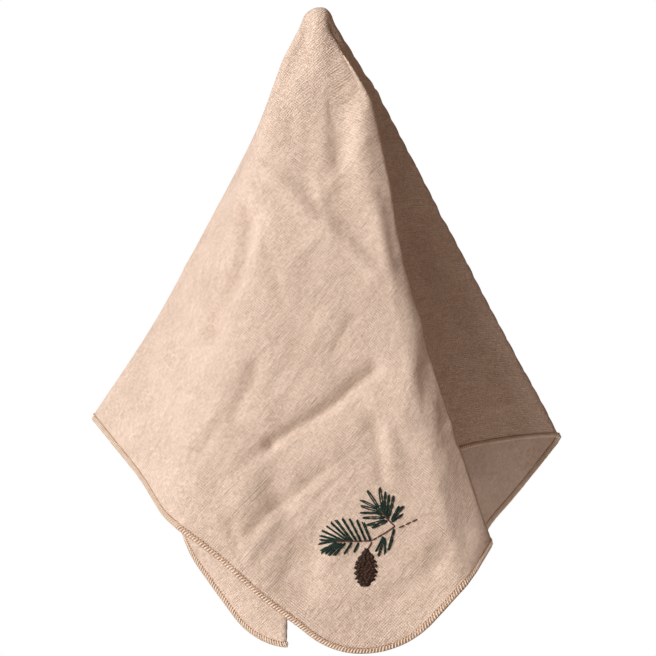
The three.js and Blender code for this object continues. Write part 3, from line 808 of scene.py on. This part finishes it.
# Twig: the main stem from its right end to the left shoot, the upper shoot's stem, the cone's stalk
TWIG_RADIUS = 0.00034
twig = LaidThreads()
twig.line((19.4, -9.6), (10.8, -5.5), rise=0.35, gap=0.9)
twig.line((9.7, -6.5), (4.3, -2.7), rise=0.3)
twig.line((4.3, -2.7), (-0.2, -0.1), rise=0.3, gap=0.5)
twig.line((-0.2, -0.1), (-15.4, 0.2), rise=0.4)
twig.line((9.7, -6.5), (7.2, -8.9), rise=0.3)
twig.line((7.2, -8.9), (3.4, -13.8), rise=0.7)
twig.line((0.1, 0.5), (-1.4, 3.8), rise=0.25)
pine_twig = twig.lay("pine_twig", twig_thread, TWIG_RADIUS)

# Needles of the left shoot, above and below the twig: where each starts along it and how long it is.
# From the joint outwards they turn from upright to along the twig, in degrees, slowly at first above.
NEEDLE_RADIUS = 0.0003
ABOVE_STARTS = (-0.4, -2.5, -4.6, -6.4, -8, -9.2, -10.4, -11.6, -12.9, -14, -15)
ABOVE_LENGTHS = (9.6, 10.2, 11.4, 11.6, 12.2, 12.2, 12, 11.4, 10, 9, 8.4)
ABOVE_ANGLE, ABOVE_TURN, ABOVE_DELAY = 112, 75, 1.7
BELOW_STARTS = (-5.6, -8.4, -11.2, -12.6, -13.8, -14.7, -15.2)
BELOW_LENGTHS = (4.6, 6.2, 7.4, 7.8, 7.8, 8.2, 7.6)
BELOW_ANGLE, BELOW_TURN, BELOW_DELAY = 248, -42, 0.8
BELOW_OFFSET = 0.8

# The other needles: where each starts right of and below the joint, its angle and length, and how
# far its two threads part. First the upper shoot's fan, then those that hang right of the cone.
FAN_NEEDLES = (
    (6.2, -9.0, 206, 7.3, 0.2), (5.5, -9.4, 196, 8.3, 0.2), (4.9, -10.4, 180, 9.0, 0.2),
    (3.3, -12.6, 179, 8.6, 0.15), (2.4, -13.5, 163, 8.0, 0.2), (2.0, -14.8, 151, 8.3, 0.15),
    (2.3, -15.3, 123, 8.8, 0.2), (4.1, -15.3, 100, 8.6, 0.25), (4.9, -14.8, 88, 7.4, 0.1),
    (6.4, -13.0, 88, 7.6, 0.1), (7.1, -11.2, 80, 9.4, 0.1), (8.2, -9.5, 63, 7.0, 0.1),
    (8.9, -10.0, 53, 6.8, 0.1), (8.2, -8.7, 35, 5.4, 0.1),
    (6.9, -10.0, 110, 6.0, 0.3), (5.5, -11.6, 135, 5.0, 0.4), (6.3, -10.8, 160, 4.4, 0.3),
    (5.8, -11.2, 98, 5.0, 0.2), (6.4, -10.2, 146, 5.2, 0.2),
    (5.9, -11.8, 124, 5.4, 0.2), (4.8, -12.4, 106, 5.0, 0.2), (6.8, -11.6, 152, 5.2, 0.2),
)
HANGING_NEEDLES = (
    (5.0, -1.9, 246, 7.2, 0.0), (5.5, -1.5, 253, 8.8, 0.05), (5.7, -1.0, 273, 7.0, -0.1),
    (9.4, -5.2, 258, 9.6, 0.1), (8.9, -0.6, 250, 5.0, 0.0),
)

needles = LaidThreads()
for number, (start, length) in enumerate(zip(ABOVE_STARTS, ABOVE_LENGTHS)):
    share = number / (len(ABOVE_STARTS) - 1)
    needles.needle(start, 0, ABOVE_ANGLE + ABOVE_TURN * share**ABOVE_DELAY, length)
for number, (start, length) in enumerate(zip(BELOW_STARTS, BELOW_LENGTHS)):
    share = number / (len(BELOW_STARTS) - 1)
    needles.needle(start, BELOW_OFFSET, BELOW_ANGLE + BELOW_TURN * share**BELOW_DELAY, length)
for one_needle in FAN_NEEDLES + HANGING_NEEDLES:
    needles.needle(*one_needle)
pine_needles = needles.lay("pine_needles", green_thread, NEEDLE_RADIUS)

# Cone: slanting satin stitches from near its middle line to a toothed edge. Half its width is given
# at shares of its length, and its teeth wander and are out of step on its two sides.
CONE_RADIUS = 0.00024
CONE_TOP, CONE_LENGTH, CONE_MIDDLE = 3.8, 16.6, -1.9
CONE_SHARES = (0, 0.1, 0.25, 0.5, 0.75, 0.9, 1)
CONE_HALF_WIDTHS = (0.9, 2.6, 4.5, 5.2, 4.6, 3.1, 1.3)
CONE_TEETH = 7.5
TOOTH_DEPTH = 0.13
TOOTH_WANDER = 17
TOOTH_STEP = 1.3
SATIN_APART = 0.36
SATIN_RISE = 0.5
SATIN_START_ABOVE = 0.5
SATIN_FALL = 0.2
SATIN_OVERLAP = 1.2
REACH_STRAY = 0.02

cone = LaidThreads()
for share in np.arange(0, 1, SATIN_APART / CONE_LENGTH):
    half = np.interp(share, CONE_SHARES, CONE_HALF_WIDTHS)
    down = CONE_TOP + share * CONE_LENGTH
    for side in (-1, 1):
        turn = 2 * np.pi * share * CONE_TEETH + TOOTH_STEP * side + np.sin(TOOTH_WANDER * share + side)
        reach = half * (1 - TOOTH_DEPTH * (1 - np.sin(turn)) + hand.normal(0, REACH_STRAY))
        end = (CONE_MIDDLE + side * reach, min(down + SATIN_FALL * reach, CONE_TOP + CONE_LENGTH))
        start = (CONE_MIDDLE - side * hand.uniform(0, SATIN_OVERLAP), down - SATIN_START_ABOVE)
        cone.line(start, end, rise=SATIN_RISE)
pine_cone = cone.lay("pine_cone", cone_thread, CONE_RADIUS)

# Scales: rows of small raised stitches in pairs that part downwards, each row out of step with the
# one above
SCALE_ROWS = 14
FIRST_ROW = 0.6
SCALE_INSET = 1.1
SCALES_APART = 1.6
SCALE_RISE = 0.9
SCALE_TOP, SCALE_FOOT = 0.5, 0.35
SCALE_SPREAD = 0.35
SCALE_SPLAY = 0.08
ROW_STRAY, SCALE_STRAY = 0.15, 0.25

scales = LaidThreads()
for row in range(SCALE_ROWS):
    share = (row + FIRST_ROW) / SCALE_ROWS
    reach = np.interp(share, CONE_SHARES, CONE_HALF_WIDTHS) - SCALE_INSET
    down = CONE_TOP + share * CONE_LENGTH
    first = -reach + (row % 2) * SCALES_APART / 2
    for middle in np.arange(first, reach, SCALES_APART) + hand.normal(0, ROW_STRAY):
        middle += hand.normal(0, SCALE_STRAY)
        place = down + hand.normal(0, SCALE_STRAY)
        for spread in (-SCALE_SPREAD, SCALE_SPREAD):
            top = (CONE_MIDDLE + middle, place - SCALE_TOP)
            foot = (CONE_MIDDLE + middle + spread + SCALE_SPLAY * middle, place + SCALE_FOOT)
            scales.line(top, foot, rise=SCALE_RISE)
cone_scales = scales.lay("pine_cone_scales", scale_thread, CONE_RADIUS)

for piece in (pine_twig, pine_needles, pine_cone, cone_scales):
    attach(piece, "root")


# Studio: a plain pale floor well below the napkin and a white surround. One large soft light stands
# at the front left, a weak one behind shines through the cloth, and little warm fill leaves the
# right side in shade.

FLOOR_Z = -0.62
FLOOR_RADIUS = 1.6
FLOOR_CORNERS = 96
FLOOR_DARK, FLOOR_LIGHT = (0.74, 0.73, 0.72, 1), (0.80, 0.79, 0.78, 1)
KEY_PLACE = (-1.43, -1.11, 0.66)
KEY_WATTS = 53
KEY_SIZE = 1.4
KEY_COLOUR = (0.97, 1.0, 1.02)
BACK_PLACE = (-0.35, 1.7, 0.5)
BACK_WATTS = 4
BACK_SIZE = 1.2
BACK_COLOUR = (1.0, 0.88, 0.76)
AIM = (0, 0.02, -0.16)
FILL_COLOUR = (1.0, 0.66, 0.48, 1)
FILL_STRENGTH = 0.2

bpy.ops.mesh.primitive_circle_add(
    vertices=FLOOR_CORNERS, radius=FLOOR_RADIUS, fill_type="NGON", location=(0, 0, FLOOR_Z),
)
floor = bpy.context.object
floor.name = "studio_floor"
pale, wire = new_finish("pale_floor")
place = wire.node("ShaderNodeTexCoord", out=3)
patch = wire.node("ShaderNodeTexNoise", sockets={"Vector": place, "Scale": 3.0, "Detail": 2.0})
surface = wire.node("ShaderNodeBsdfPrincipled", sockets={
    "Base Color": patch.mix(FLOOR_DARK, FLOOR_LIGHT), "Roughness": 0.7,
})
wire.node("ShaderNodeOutputMaterial", sockets={"Surface": surface})
floor.data.materials.append(pale)


def soft_light(name, place, size, watts, colour):
    """A round soft light that faces the napkin."""
    lamp = bpy.data.lights.new(name, "AREA")
    lamp.shape = "DISK"
    lamp.size = size
    lamp.energy = watts
    lamp.color = colour
    made = bpy.data.objects.new(name, lamp)
    made.location = place
    away = np.array(place) - np.array(AIM)
    tilt = np.arccos(away[2] / np.linalg.norm(away))
    heading = np.arctan2(away[1], away[0]) + np.pi / 2
    made.rotation_euler = (tilt, 0, heading)
    bpy.context.scene.collection.objects.link(made)


soft_light("key_light", KEY_PLACE, KEY_SIZE, KEY_WATTS, KEY_COLOUR)
soft_light("back_light", BACK_PLACE, BACK_SIZE, BACK_WATTS, BACK_COLOUR)

world = bpy.data.worlds.new("studio_surround")
world.use_nodes = True
world.node_tree.nodes.clear()
bpy.context.scene.world = world
wire = Wire(world.node_tree)
fill = wire.node("ShaderNodeBackground", sockets={"Color": FILL_COLOUR, "Strength": FILL_STRENGTH})
white = wire.node("ShaderNodeBackground", sockets={"Color": (1, 1, 1, 1), "Strength": 1.0})
seen = wire.node("ShaderNodeLightPath")
backdrop = wire.node("ShaderNodeMixShader", sockets={0: seen, 1: fill, 2: white})
wire.node("ShaderNodeOutputWorld", sockets={"Surface": backdrop})
bpy.context.scene.view_settings.view_transform = "Standard"
